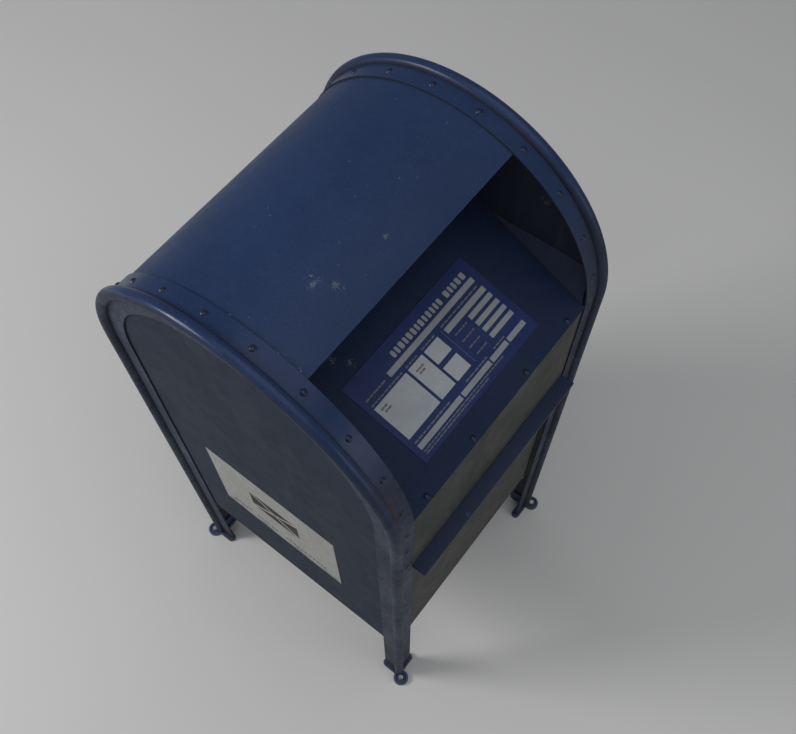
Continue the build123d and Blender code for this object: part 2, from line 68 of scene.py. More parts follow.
# ---- the camera
CAMERA_PLACE = (-0.4982, -0.4656, 2.0732)
CAMERA_YAW = -0.90212
CAMERA_PITCH = 1.09924
CAMERA_ROLL = -0.00971
SENSOR = 36.0
LENS = 43.215


# ---------------------------------------------------------------- node materials
class Recipe:
    """One node material under construction. Its methods add a node and give back that node's output."""

    def __init__(self, name):
        self.material = bpy.data.materials.new(name)
        self.material.use_nodes = True
        self.tree = self.material.node_tree
        self.tree.nodes.clear()
        where = self.tree.nodes.new("ShaderNodeTexCoord")
        self.point = where.outputs["Object"]
        self.normal = where.outputs["Normal"]

    def add(self, kind, inputs, **settings):
        node = self.tree.nodes.new(kind)
        for key, value in settings.items():
            setattr(node, key, value)
        for key, value in inputs.items():
            self.feed(node.inputs[key], value)
        return node

    def feed(self, socket, value):
        if isinstance(value, bpy.types.NodeSocket):
            self.tree.links.new(value, socket)
        elif socket.type == "RGBA":
            socket.default_value = (*value, 1.0)
        else:
            socket.default_value = value

    def stretched(self, stretch):
        return self.add("ShaderNodeMapping", {"Vector": self.point, "Scale": stretch}).outputs[0]

    def noise(self, per_metre, detail=4.0, rough=0.55, stretch=None, warp=0.0):
        point = self.stretched(stretch) if stretch else self.point
        inputs = {"Vector": point, "Scale": per_metre, "Detail": detail, "Roughness": rough,
                  "Distortion": warp}
        return self.add("ShaderNodeTexNoise", inputs).outputs["Fac"]

    def ramp(self, value, low, high, to=(0.0, 1.0)):
        """Smooth step from to[0] at low to to[1] at high; low may be the larger."""
        inputs = {0: value, 1: low, 2: high, 3: to[0], 4: to[1]}
        return self.add("ShaderNodeMapRange", inputs, interpolation_type="SMOOTHSTEP").outputs[0]

    def math(self, operation, a, b=0.0):
        return self.add("ShaderNodeMath", {0: a, 1: b}, operation=operation, use_clamp=True).outputs[0]

    def times(self, a, b):
        return self.math("MULTIPLY", a, b)

    def most(self, *masks):
        top = masks[0]
        for mask in masks[1:]:
            top = self.math("MAXIMUM", top, mask)
        return top

    def mix(self, factor, a, b):
        return self.add("ShaderNodeMix", {0: factor, 6: a, 7: b}, data_type="RGBA").outputs[2]

    def blend(self, factor, a, b):
        return self.add("ShaderNodeMix", {0: factor, 2: a, 3: b}, data_type="FLOAT").outputs[0]

    def spots(self, per_metre, radius, share, stretch=None):
        """Round spots in a share of the cells of a grid, radius in cells."""
        point = self.stretched(stretch) if stretch else self.point
        cells = self.add("ShaderNodeTexVoronoi", {"Vector": point, "Scale": per_metre})
        dot = self.ramp(cells.outputs["Distance"], radius, radius * 0.6)
        kept = self.ramp(self.channel(cells.outputs["Color"], 0), 1 - share, 1 - share + 0.02)
        return self.times(dot, kept)

    def channel(self, vector, index):
        return self.add("ShaderNodeSeparateXYZ", {0: vector}).outputs[index]

    def flecks(self, places, per_metre, share):
        """Ragged flecks that thin out away from each (place, radius); share is how densely they lie."""
        grain = self.noise(per_metre, 5.0, 0.70, warp=0.8)
        masks = []
        for place, radius in places:
            away = self.add("ShaderNodeVectorMath", {0: self.point, 1: place}, operation="DISTANCE")
            near = self.ramp(away.outputs["Value"], radius, 0.0, (0.0, share))
            masks.append(self.ramp(self.math("ADD", grain, near), 0.74, 0.80))
        return self.most(*masks)

    def crevice(self, reach, low=0.93, high=0.55):
        """Where other surfaces stand within reach."""
        node = self.add("ShaderNodeAmbientOcclusion", {"Distance": reach}, samples=6)
        return self.ramp(node.outputs["AO"], low, high)

    def edge(self, radius):
        """Where the surface turns a sharp corner."""
        rounded = self.add("ShaderNodeBevel", {"Radius": radius}, samples=4).outputs[0]
        plain = self.add("ShaderNodeNewGeometry", {}).outputs["Normal"]
        turn = self.add("ShaderNodeVectorMath", {0: rounded, 1: plain}, operation="DOT_PRODUCT")
        return self.ramp(turn.outputs["Value"], 0.995, 0.86)

    def bump(self, height, distance, strength=1.0, under=None):
        inputs = {"Height": height, "Distance": distance, "Strength": strength}
        if under is not None:
            inputs["Normal"] = under
        return self.add("ShaderNodeBump", inputs).outputs[0]

    def finish(self, colour, roughness, normal, **uniform):
        """Closes the material. uniform holds values that are the same all over, by socket name."""
        inputs = {"Base Color": colour, "Roughness": roughness, "Normal": normal}
        shader = self.add("ShaderNodeBsdfPrincipled", inputs)
        for key, value in uniform.items():
            self.feed(shader.inputs[key.replace("_", " ")], value)
        output = self.add("ShaderNodeOutputMaterial", {})
        self.tree.links.new(shader.outputs[0], output.inputs["Surface"])
        return self.material


def shade(colour, factor):
    return tuple(channel * factor for channel in colour)


# ---------------------------------------------------------------- paints
def enamel(r, base, cloud, patch):
    """The paint's own mottled colour."""
    fine = r.noise(420.0, 3.0, 0.6)
    colour = r.mix(r.ramp(cloud, 0.34, 0.68), shade(base, 0.88), shade(base, 1.10))
    colour = r.mix(r.ramp(patch, 0.38, 0.72, (0.0, 0.35)), colour, shade(base, 1.22))
    return r.mix(r.ramp(fine, 0.36, 0.66, (0.0, 0.42)), colour, shade(base, 0.60))


def dust_layer(r, cloud, dust_up, dust_side, streaks, dust_colour):
    """How much dust lies on level and on upright surfaces, where it runs in streaks, and its colour."""
    upright = r.ramp(r.math("ABSOLUTE", r.channel(r.normal, 2)), 0.85, 0.25)
    runs = r.noise(1.0, 5.0, 0.65, stretch=(64.0, 64.0, 3.2))
    streak = r.times(r.times(r.ramp(runs, 0.50, 0.74), upright), streaks)
    powder = r.noise(90.0, 6.0, 0.7)
    grain = r.math("ADD", r.times(cloud, 0.55), r.times(powder, 0.45))
    lying = r.ramp(grain, 0.32, 0.64, (0.42, 1.0))
    cover = r.most(r.times(lying, r.ramp(upright, 0.0, 1.0, (dust_up, dust_side))), streak)
    blotch = r.noise(15.0, 7.0, 0.68, warp=0.7)
    thin = r.mix(r.ramp(runs, 0.36, 0.64), shade(dust_colour, 0.76), shade(dust_colour, 0.96))
    return cover, r.mix(r.ramp(blotch, 0.40, 0.66), thin, shade(dust_colour, 1.22))


def splash(r, strength):
    """Where mud is thrown up from the ground."""
    height = r.channel(r.point, 2)
    return r.times(r.times(r.ramp(height, 0.42, 0.02), r.ramp(r.noise(22.0, 6.0, 0.7), 0.40, 0.66)), strength)


def small_specks(r, specks):
    """Where small round specks of three sizes show the primer."""
    return r.most(
        r.times(r.spots(130.0, 0.15, 0.07), specks * 0.9),
        r.times(r.spots(52.0, 0.070, 0.26), specks * 1.1),
        r.times(r.spots(24.0, 0.034, 0.20, stretch=(1.0, 0.6, 0.8)), specks * 1.5),
    )


def painted(name, base, dust_up=0.06, dust_side=0.3, dust_colour=DUST, streaks=0.3, corner_shade=0.5, specks=0.2,
            wear=0.4, gloss=0.40, shine=0.30, chips=(), stains=(), low_dirt=0.0):
    """Brushed and sprayed enamel on sheet steel: mottled, dusty and chipped, with scuffs and a painted
    highlight lightening its edges and painted shade darkening its corners.

    dust_up and dust_side are how much dust lies on level and on upright surfaces, chips lists
    (place, radius) of chipped patches and stains of brown ones, and low_dirt is splashed up from
    the ground. gloss is the paint's roughness and shine its specular level.
    """
    r = Recipe(name)
    cloud = r.noise(5.0, 6.0, 0.6, warp=0.4)
    patch = r.noise(34.0, 5.0, 0.62)
    colour = enamel(r, base, cloud, patch)
    dusty, dust_tone = dust_layer(r, cloud, dust_up, dust_side, streaks, dust_colour)
    colour = r.mix(dusty, colour, dust_tone)
    # Painted shade: where other surfaces stand close, the colour is darkened towards the dark grime colour,
    # by an amount set per paint
    corner = r.times(r.crevice(0.006), r.ramp(patch, 0.28, 0.60, (0.45, 1.0)))
    colour = r.mix(r.times(corner, corner_shade), colour, GRIME_AND_SHADE)
    if low_dirt:
        colour = r.mix(splash(r, low_dirt), colour, MUD)
    colour = r.mix(small_specks(r, specks), colour, shade(PRIMER, 0.75))
    colour = r.mix(r.times(r.spots(41.0, 0.070, 0.14), 0.5), colour, GRIME_AND_SHADE)
    # Edges lightened: partly scuffed paint, partly a painted highlight along the edges; wear sets how
    # strongly
    rubbed_and_lit_edge = r.times(r.edge(0.0016), r.ramp(r.noise(60.0, 5.0, 0.7), 0.42, 0.62))
    colour = r.mix(r.times(rubbed_and_lit_edge, wear), colour, shade(dust_colour, 1.6))
    matt = [dusty, r.times(corner, 0.8)]
    if stains:
        stained = r.times(r.flecks(stains, 110.0, 0.50), r.crevice(0.015, 0.985, 0.72))
        colour = r.mix(r.times(stained, 0.8), colour, RUST)
        matt.append(stained)
    rough = r.ramp(patch, 0.30, 0.75, (gloss - 0.05, gloss + 0.07))
    dents = r.bump(r.noise(7.0, 2.0, 0.4), 0.0016, 0.55)
    relief = r.bump(r.noise(330.0, 2.0, 0.5), 0.00008, 0.6, dents)
    if chips:
        chipped = r.flecks(chips, 210.0, 0.27)
        colour = r.mix(r.times(chipped, 0.34), colour, shade(PRIMER, 0.8))
        relief = r.bump(r.math("SUBTRACT", 1.0, chipped), 0.0002, 0.6, relief)
        matt.append(chipped)
    rough = r.blend(r.most(*matt), rough, 0.82)
    return r.finish(colour, rough, relief, Specular_IOR_Level=shine)


def cast_paint():
    """Thick paint on a sand casting, dirty from the ground, with painted shade in its corners and its edges
    lightened by scuffs and a painted highlight.
    """
    r = Recipe("painted_casting")
    cloud = r.noise(26.0, 6.0, 0.65)
    grain = r.noise(260.0, 4.0, 0.6)
    colour = r.mix(r.ramp(cloud, 0.36, 0.66), shade(NAVY, 0.72), shade(NAVY, 1.20))
    # Edges lightened: partly scuffed paint, partly a painted highlight along the edges
    rubbed_and_lit_edge = r.times(r.edge(0.0022), r.ramp(r.noise(85.0, 5.0, 0.7), 0.38, 0.58))
    colour = r.mix(r.times(rubbed_and_lit_edge, 0.75), colour, shade(DUST_BLUE, 1.5))
    # Painted shade: corners near other surfaces are darkened towards the dark grime colour
    corner = r.crevice(0.012)
    colour = r.mix(r.times(corner, 0.75), colour, GRIME_AND_SHADE)
    soil = r.times(r.ramp(r.channel(r.point, 2), 0.012, 0.0), r.ramp(r.noise(60.0, 6.0, 0.7), 0.36, 0.58))
    colour = r.mix(r.times(soil, 0.8), colour, (0.085, 0.070, 0.052))
    rust = r.ramp(r.noise(48.0, 7.0, 0.72, warp=0.4), 0.60, 0.66)
    colour = r.mix(r.times(rust, 0.6), colour, RUST)
    rough = r.blend(r.most(corner, soil, rust), r.ramp(grain, 0.3, 0.7, (0.36, 0.52)), 0.85)
    relief = r.bump(grain, 0.00035, 0.6, r.bump(r.noise(60.0, 3.0, 0.5), 0.0006, 0.5))
    return r.finish(colour, rough, relief, Specular_IOR_Level=0.45)


def zinc():
    """Zinc plating with faint crystals, white bloom and dark brown painted shade in the corners."""
    r = Recipe("zinc_plating")
    crystals = r.add("ShaderNodeTexVoronoi", {"Vector": r.point, "Scale": 260.0})
    tone = r.channel(crystals.outputs["Color"], 0)
    colour = r.mix(tone, shade(ZINC, 0.72), shade(ZINC, 1.10))
    bloom = r.ramp(r.noise(120.0, 6.0, 0.7), 0.52, 0.70)
    colour = r.mix(r.times(bloom, 0.55), colour, (0.50, 0.50, 0.48))
    # Painted shade: corners near other surfaces are darkened to a dark brown
    corner = r.crevice(0.006)
    colour = r.mix(r.times(corner, 0.8), colour, (0.035, 0.028, 0.020))
    rough = r.blend(r.most(bloom, corner), r.ramp(tone, 0.0, 1.0, (0.30, 0.42)), 0.72)
    relief = r.bump(r.noise(500.0, 3.0, 0.6), 0.00006, 0.6)
    return r.finish(colour, rough, relief, Metallic=1.0)


def brass():
    """Dull brass with fingerprints and brown tarnish round its edges."""
    r = Recipe("dull_brass")
    tarnish = r.ramp(r.noise(140.0, 6.0, 0.7, warp=0.5), 0.40, 0.68)
    colour = r.mix(tarnish, BRASS, (0.12, 0.075, 0.030))
    # Painted shade: corners near other surfaces are darkened
    corner = r.crevice(0.005)
    colour = r.mix(r.times(corner, 0.8), colour, (0.02, 0.015, 0.010))
    turning = r.noise(1.0, 3.0, 0.6, stretch=(900.0, 60.0, 900.0))
    rough = r.blend(r.most(tarnish, corner), 0.28, 0.62)
    return r.finish(colour, rough, r.bump(turning, 0.00003, 0.6), Metallic=1.0)


def printed_film(name, base, smudge_colour, smudge=0.4, gloss=0.38, grubby=()):
    """Printed film: faint banding, grey smudges and scratches, and grubby spots at (place, radius)."""
    r = Recipe(name)
    cloud = r.noise(16.0, 6.0, 0.65, warp=0.5)
    rubs = r.noise(70.0, 6.0, 0.72)
    colour = r.mix(r.ramp(cloud, 0.34, 0.68), shade(base, 0.88), shade(base, 1.08))
    dirty = r.times(r.ramp(r.math("ADD", r.times(cloud, 0.5), r.times(rubs, 0.5)), 0.47, 0.66), smudge)
    colour = r.mix(dirty, colour, smudge_colour)
    scratch = r.ramp(r.noise(1.0, 4.0, 0.6, stretch=(520.0, 30.0, 60.0)), 0.66, 0.72)
    colour = r.mix(r.times(scratch, 0.30), colour, smudge_colour)
    if grubby:
        colour = r.mix(r.times(r.flecks(grubby, 60.0, 0.42), 0.6), colour, shade(smudge_colour, 0.5))
    rough = r.blend(r.most(dirty, scratch), r.ramp(rubs, 0.3, 0.7, (gloss - 0.06, gloss + 0.08)), 0.78)
    relief = r.bump(r.noise(24.0, 3.0, 0.5), 0.0004, 0.35, r.bump(rubs, 0.00004, 0.5))
    return r.finish(colour, rough, relief, Specular_IOR_Level=0.2)


def ink(name, colour):
    """Faded printing ink, worn through in small flecks."""
    r = Recipe(name)
    worn = r.ramp(r.noise(240.0, 6.0, 0.75), 0.50, 0.66)
    tone = r.mix(r.ramp(r.noise(20.0, 4.0, 0.6), 0.3, 0.7), shade(colour, 0.85), shade(colour, 1.15))
    tone = r.mix(r.times(worn, 0.25), tone, shade(BADGE_WHITE, 0.6))
    rough = r.ramp(worn, 0.0, 1.0, (0.50, 0.75))
    return r.finish(tone, rough, r.bump(worn, 0.00002, 0.5), Specular_IOR_Level=0.08)


def pavement():
    """Plain pale studio floor with only a trace of texture."""
    r = Recipe("pale_floor")
    tone = r.mix(r.noise(1.2, 3.0, 0.5), (0.64, 0.64, 0.64), (0.68, 0.68, 0.68))
    rough = r.ramp(r.noise(3.0, 3.0, 0.5), 0.3, 0.7, (0.80, 0.90))
    return r.finish(tone, rough, r.bump(r.noise(90.0), 0.0001, 0.2))


# ---------------------------------------------------------------- mesh helpers
def make_piece(name, shape, material, body):
    """Turns a bmesh that is already in the row frame into a piece that rides on a body."""
    bmesh.ops.recalc_face_normals(shape, faces=shape.faces)
    mesh = bpy.data.meshes.new(name)
    shape.to_mesh(mesh)
    shape.free()
    piece = bpy.data.objects.new(name, mesh)
    bpy.context.scene.collection.objects.link(piece)
    mesh.materials.append(material)
    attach(piece, body)
    return piece


class Panel:
    """A flat face of a CAD node: across and up run along it, out points away from it, in metres."""

    def __init__(self, node, out):
        mesh = NODES[node].data
        out = Vector(out).normalized()
        largest = max(mesh.polygons, key=lambda face: face.area * (face.normal.dot(out) > 0.7))
        self.out = largest.normal.copy()
        self.across = Vector(UP).cross(self.out).normalized()
        self.up = self.out.cross(self.across)
        corners = [mesh.vertices[i].co for i in largest.vertices]
        level = corners[0].dot(self.out)
        on_face = [v.co for v in mesh.vertices if abs(v.co.dot(self.out) - level) < 1e-5]
        self.centre = self.out * level
        for axis in (self.across, self.up):
            reach = [corner.dot(axis) for corner in on_face]
            self.centre += axis * (min(reach) + max(reach)) / 2

    def at(self, x, y, lift):
        return self.centre + self.across * x + self.up * y + self.out * lift


def rounded_outline(x, y, radius, steps=5):
    """Corner points of a rectangle with rounded corners, anticlockwise."""
    radius = min(radius, (x[1] - x[0]) / 2.01, (y[1] - y[0]) / 2.01)
    points = []
    corners = ((x[1], y[1]), (x[0], y[1]), (x[0], y[0]), (x[1], y[0]))
    for turn, (corner_x, corner_y) in enumerate(corners):
        side_x = 1 if turn in (0, 3) else -1
        side_y = 1 if turn in (0, 1) else -1
        for step in range(steps + 1):
            angle = math.radians(90 * (turn + step / steps))
            centre_x = corner_x - side_x * radius
            centre_y = corner_y - side_y * radius
            points.append((centre_x + radius * math.cos(angle), centre_y + radius * math.sin(angle)))
    return points


def printed(name, panel, outlines, lift, thickness, material, body):
    """Flat printed shapes on a panel, each a thin closed plate; outlines are in millimetres."""
    shape = bmesh.new()
    for outline in outlines:
        low = [shape.verts.new(panel.at(x * MM, y * MM, (lift - SUNK) * MM)) for x, y in outline]
        high = [shape.verts.new(panel.at(x * MM, y * MM, (lift + thickness) * MM)) for x, y in outline]
        shape.faces.new(high)
        shape.faces.new(list(reversed(low)))
        for i in range(len(outline)):
            j = (i + 1) % len(outline)
            shape.faces.new((low[i], low[j], high[j], high[i]))
    return make_piece(name, shape, material, body)


def word_row(draw, x, y, height, widths, gap):
    """A row of blocks that stands for a line of print: blocks of random width between x[0] and x[1]."""
    blocks = []
    start = x[0]
    while start < x[1] - widths[0]:
        stop = min(start + draw.uniform(*widths), x[1])
        blocks.append(rounded_outline((start, stop), (y, y + height), height * 0.18, 2))
        start = stop + gap
    return blocks


def lathe(name, profile, place, material, body):
    """Turned piece: profile is a closed loop of (radius, height) in millimetres about a vertical axis."""
    shape = bmesh.new()
    rings = []
    for step in range(LATHE_STEPS):
        angle = 2 * math.pi * step / LATHE_STEPS
        turn = Vector((math.cos(angle), math.sin(angle), 0))
        rings.append([shape.verts.new(place + turn * r * MM + Vector(UP) * h * MM) for r, h in profile])
    for i, ring in enumerate(rings):
        after = rings[(i + 1) % LATHE_STEPS]
        for j in range(len(profile)):
            k = (j + 1) % len(profile)
            shape.faces.new((ring[j], after[j], after[k], ring[k]))
    return make_piece(name, shape, material, body)


def hex_head(name, across_flats, height, place, material, body):
    """Hexagon bolt head with a chamfered crown and a washer face, sizes in millimetres."""
    outer = across_flats / math.sqrt(3)
    levels = [
        (across_flats * 0.47, 0.0, False), (across_flats * 0.47, 0.5, False),
        (outer, 0.6, True), (outer, height - 1.1, True), (outer * 0.86, height, True),
        (outer * 0.55, height, True), (outer * 0.45, height - 0.3, True),
    ]
    half_flat = math.pi / 6
    shape = bmesh.new()
    rings = []
    for radius, level, hexagonal in levels:
        ring = []
        for step in range(HEX_STEPS):
            angle = 2 * math.pi * step / HEX_STEPS
            reach = radius
            if hexagonal:
                reach = radius * math.cos(half_flat) / math.cos((angle % (2 * half_flat)) - half_flat)
            turned = angle + HEX_TURN
            corner = Vector((math.cos(turned) * reach, math.sin(turned) * reach, level))
            ring.append(shape.verts.new(place + corner * MM))
        rings.append(ring)
    for low, high in zip(rings, rings[1:]):
        for i in range(HEX_STEPS):
            j = (i + 1) % HEX_STEPS
            shape.faces.new((low[i], low[j], high[j], high[i]))
    shape.faces.new(list(reversed(rings[0])))
    shape.faces.new(rings[-1])
    soften(make_piece(name, shape, material, body), 0.25)


def soften(piece, radius):
    """Rounds the sharp edges of a piece by a radius in millimetres and evens out its shading."""
    weld = piece.modifiers.new("join_seams", "WELD")
    weld.merge_threshold = 0.002 * MM
    bevel = piece.modifiers.new("round_edges", "BEVEL")
    bevel.width = radius * MM
    bevel.segments = 2
    bevel.limit_method = "ANGLE"
    bevel.angle_limit = math.radians(35)
    even = piece.modifiers.new("even_shading", "WEIGHTED_NORMAL")
    even.weight = 80


# ---------------------------------------------------------------- printed notice and side badges
def notice_print():
    """Boxes, bars and rows of blocks on the notice; the rows stand for print and say nothing."""
    panel = Panel("notice_plate", (0, -0.28, 0.96))
    white = printed_film("notice_white", PRINT_WHITE, (0.36, 0.38, 0.40), smudge=0.40)
    worn_white = printed_film("notice_worn_white", shade(PRINT_WHITE, 0.74), (0.26, 0.28, 0.30), smudge=0.7)
    faint = printed_film("notice_faint", shade(PRINT_WHITE, 0.36), (0.10, 0.11, 0.15), smudge=0.6)
    draw = random.Random(7)
    printed("notice_boxes", panel, notice_boxes(), 0.0, FILM, white, "cabinet")
    printed("notice_bars", panel, notice_bars(), 0.0, FILM, worn_white, "cabinet")
    printed("notice_heading", panel, notice_heading(draw), 0.0, FILM, worn_white, "cabinet")
    printed("notice_small_rows", panel, notice_small_rows(draw), 0.0, INK_FILM, faint, "cabinet")
    grey = ink("pencil_grey", (0.15, 0.16, 0.18))
    printed("notice_entries", panel, notice_entries(draw), FILM, 0.03, grey, "cabinet")


def notice_boxes():
    boxes = [
        ((-119.4, -52.6), (-36.0, 23.3)), ((-48.2, -18.4), (-35.7, 23.4)),
        ((-14.1, 15.6), (-2.4, 23.0)), ((-14.1, 15.6), (-36.2, -10.1)),
    ]
    return [rounded_outline(x, y, 0.8) for x, y in boxes]


def notice_bars():
    """A long bar and a short one at the top, four down the right and a row of four at the foot."""
    bars = [((-70.7, 115.4), (33.8, 42.1)), ((29.2, 116.7), (14.2, 22.8))]
    bars += [((67.3, 116.7), (y, y + 7.5)) for y in (2.3, -10.4, -22.9, -35.4)]
    bars += [(x, (-56.8, -49.0)) for x in ((-118.9, -27.5), (-24.5, 37.5), (40.5, 76.5), (79.5, 116.8))]
    return [rounded_outline(x, y, 0.6) for x, y in bars]


def notice_heading(draw):
    rows = []
    for x in ((-47.0, 60.0), (68.0, 114.0)):
        rows += word_row(draw, x, 46.5, 10.5, (4.6, 8.0), 2.8)
    return rows


def notice_small_rows(draw):
    """A thin upright line and the rows of small print round the boxes and bars."""
    small = [rounded_outline((24.2, 24.8), (-37.0, 25.0), 0.1)]
    small += word_row(draw, (-119.0, -75.0), 36.0, 2.4, (4.0, 9.0), 1.4)
    small += word_row(draw, (-119.0, -56.0), 26.2, 2.2, (4.0, 9.0), 1.4)
    small += word_row(draw, (-48.0, -20.0), 26.2, 2.2, (4.0, 8.0), 1.4)
    small += word_row(draw, (-14.0, 15.0), 26.2, 2.2, (4.0, 8.0), 1.4)
    small += word_row(draw, (29.0, 116.0), 26.4, 2.2, (5.0, 10.0), 1.4)
    for y in (4.6, -8.2, -20.6, -33.2):
        small += word_row(draw, (34.0, 60.0), y, 2.0, (4.0, 8.0), 1.4)
    for x in ((-118.0, -40.0), (-7.0, 40.0), (56.0, 84.0)):
        small += word_row(draw, x, -46.0, 2.2, (4.0, 9.0), 1.4)
    small += word_row(draw, (-118.0, 60.0), -61.6, 1.8, (4.0, 10.0), 1.2)
    small += word_row(draw, (-118.0, 20.0), -65.6, 1.8, (4.0, 10.0), 1.2)
    return small


def notice_entries(draw):
    """Short strokes in two of the boxes, in place of what is written there."""
    lines = [((-114.0, -97.0), 14.0), ((-112.0, -99.0), 8.6), ((-42.0, -26.0), 12.0), ((-41.0, -29.0), 6.8)]
    marks = []
    for x, y in lines:
        marks += word_row(draw, x, y, 2.8, (4.0, 9.0), 0.6)
    return marks


def envelope(width, height, gap):
    """Outlines of a plain envelope seen from its back: flap, two sides and the bottom, parted by gaps."""
    w, h = width / 2, height / 2
    slope = h * 1.05 / w
    flap = [(-w + gap * 1.6, h), (w - gap * 1.6, h), (0, h - slope * (w - gap * 1.6))]
    left = [(-w, h - gap), (-gap * 1.2, 0.0), (-w, -h + gap * 1.4)]
    right = [(w, h - gap), (w, -h + gap * 1.4), (gap * 1.2, 0.0)]
    bottom = [(-w + gap, -h), (w - gap, -h), (gap * 0.5, -gap * 1.3), (-gap * 0.5, -gap * 1.3)]
    return [flap, left, right, bottom]


def badge_print(side, out):
    """A plain envelope and a row of blocks on one side badge."""
    panel = Panel("side_badge_" + side, out)
    dark = ink("badge_ink_" + side, INK)
    turned = 1 if side == "left" else -1
    shapes = [[(x - 2.0 * turned, y + 11.0) for x, y in part] for part in envelope(104.0, 66.0, 4.6)]
    printed("badge_envelope_" + side, panel, shapes, 0.0, INK_FILM, dark, "cabinet")
    draw = random.Random(11)
    rows = []
    for x in ((-112.0, -72.0), (-58.0, -4.0), (10.0, 106.0)):
        rows += word_row(draw, x, -93.0, 8.0, (5.0, 7.5), 2.2)
    pale = ink("badge_pale_ink_" + side, (0.085, 0.090, 0.10))
    printed("badge_row_" + side, panel, rows, 0.0, INK_FILM, pale, "cabinet")


# ---------------------------------------------------------------- anchor bolts
def anchor_bolts(material, bolt_material):
    """A washer and a bolt head in the dish of each foot's pad, over its anchor hole."""
    mount = next(m for m in frame["record"]["mounts"] if m["name"] == "anchor_holes")
    half_x = mount["dims"]["spacing_x_mm"] * MM / 2
    half_y = mount["dims"]["spacing_y_mm"] * MM / 2
    washer = [(5.0, 0.0), (8.6, 0.0), (9.0, 0.3), (9.0, 1.0), (8.7, WASHER_T), (5.2, WASHER_T),
              (4.9, 1.0), (4.9, 0.3)]
    for side_y, end in ((-1, "front"), (1, "back")):
        for side_x, hand in ((-1, "left"), (1, "right")):
            name = end + "_" + hand
            place = Vector((side_x * half_x, side_y * half_y, dish_floor("foot_" + name)))
            lathe("anchor_washer_" + name, washer, place, material, "cabinet")
            seat = place + Vector(UP) * WASHER_T * MM
            hex_head("anchor_bolt_" + name, 10.0, 4.4, seat, bolt_material, "cabinet")


def dish_floor(node):
    """Height of the lowest level face of a foot that looks up."""
    return min(face.center.z for face in NODES[node].data.polygons if face.normal.z > 0.99)


# ---------------------------------------------------------------- finishes of the CAD nodes
def wear(nodes, material, radius):
    """Gives CAD nodes a material and, where radius is set, softly rounded edges."""
    for name in nodes:
        node = NODES[name]
        node.data.materials.clear()
        node.data.materials.append(material)
        if radius:
            soften(node, radius)


def pair(*names):
    return [name + side for name in names for side in ("_left", "_right")]


def finish_hood():
    """The hood and the back sheet; most scuffs are on the hood's left half."""
    chips = [((-0.106, -0.036, 1.157), 0.026), ((-0.090, -0.056, 1.152), 0.020),
             ((-0.005, -0.059, 1.153), 0.012), ((-0.060, -0.070, 1.146), 0.010)]
    hood_paint = painted("hood_blue", shade(NAVY, 0.70), dust_side=0.16, dust_colour=DUST_BLUE,
                         specks=0.42, gloss=0.44, shine=0.20, chips=chips)
    wear(["hood_sheet"], hood_paint, 0.0)
    back_paint = painted("back_blue", shade(NAVY, 0.8), dust_side=0.45, streaks=0.4,
                         dust_colour=DUST_BLUE, low_dirt=0.4)
    wear(["back_sheet", "seam_rivets"], back_paint, 0.0)


def finish_frames():
    """Legs, arch rims and rivets, with brown stains in the groove of the left front bend; the rivets are
    painted much darker than the frame as painted shade.
    """
    stains = [((-0.233, -0.245, 0.925), 0.050), ((-0.233, -0.225, 1.000), 0.050)]
    frame_paint = painted("frame_blue", shade(NAVY, 0.72), dust_up=0.14, dust_side=0.82, streaks=0.35,
                          dust_colour=(0.020, 0.022, 0.026), specks=0.16, stains=stains, low_dirt=0.45,
                          corner_shade=0.75, gloss=0.20, shine=0.22)
    wear(pair("front_leg", "back_leg", "arch_rim"), frame_paint, 0.0)
    # The rivets get the frame's navy at well under half its brightness, painted shade for the shadow on their
    # domes, and strong painted shade round them
    shaded_rivet_paint = painted("rivet_shaded_blue", shade(NAVY, 0.30), dust_up=0.06, dust_side=0.35, corner_shade=0.95,
                          dust_colour=(0.030, 0.033, 0.039), specks=0.0, gloss=0.28, shine=0.38)
    wear(pair("rim_rivets") + ["plate_rivets"], shaded_rivet_paint, 0.0)


def finish_faces():
    """The dusty upright sheets, the letter plate and the ledge."""
    side_paint = painted("side_blue", (0.010, 0.024, 0.066), dust_side=0.80,
                         dust_colour=(0.041, 0.048, 0.059), streaks=0.5, specks=0.20, low_dirt=0.35,
                         gloss=0.46, shine=0.08)
    wear(pair("side_panel"), side_paint, 0.0)
    front_paint = painted("front_blue", (0.026, 0.034, 0.045), dust_side=0.88,
                          dust_colour=(0.088, 0.090, 0.082), streaks=0.55, specks=0.14, low_dirt=0.35,
                          gloss=0.50, shine=0.12)
    wear(["front_apron", "door_sill"] + pair("door_jamb"), front_paint, 0.0)
    wear(["access_door"], front_paint, 0.4)
    chips = [((-0.105, -0.046, 0.981), 0.014), ((-0.092, -0.066, 0.975), 0.018),
             ((0.172, -0.16, 0.965), 0.010)]
    plate_paint = painted("plate_blue", (0.013, 0.026, 0.070), dust_side=0.1, specks=0.10, chips=chips,
                          streaks=0.1, corner_shade=0.35, shine=0.08)
    wear(["hopper_plate"], plate_paint, 0.0)
    ledge_paint = painted("ledge_blue", (0.018, 0.034, 0.085), dust_side=0.3, specks=0.16, wear=0.8,
                          chips=[((-0.084, -0.2666, 0.711), 0.009)])
    wear(["drip_ledge"], ledge_paint, 0.4)


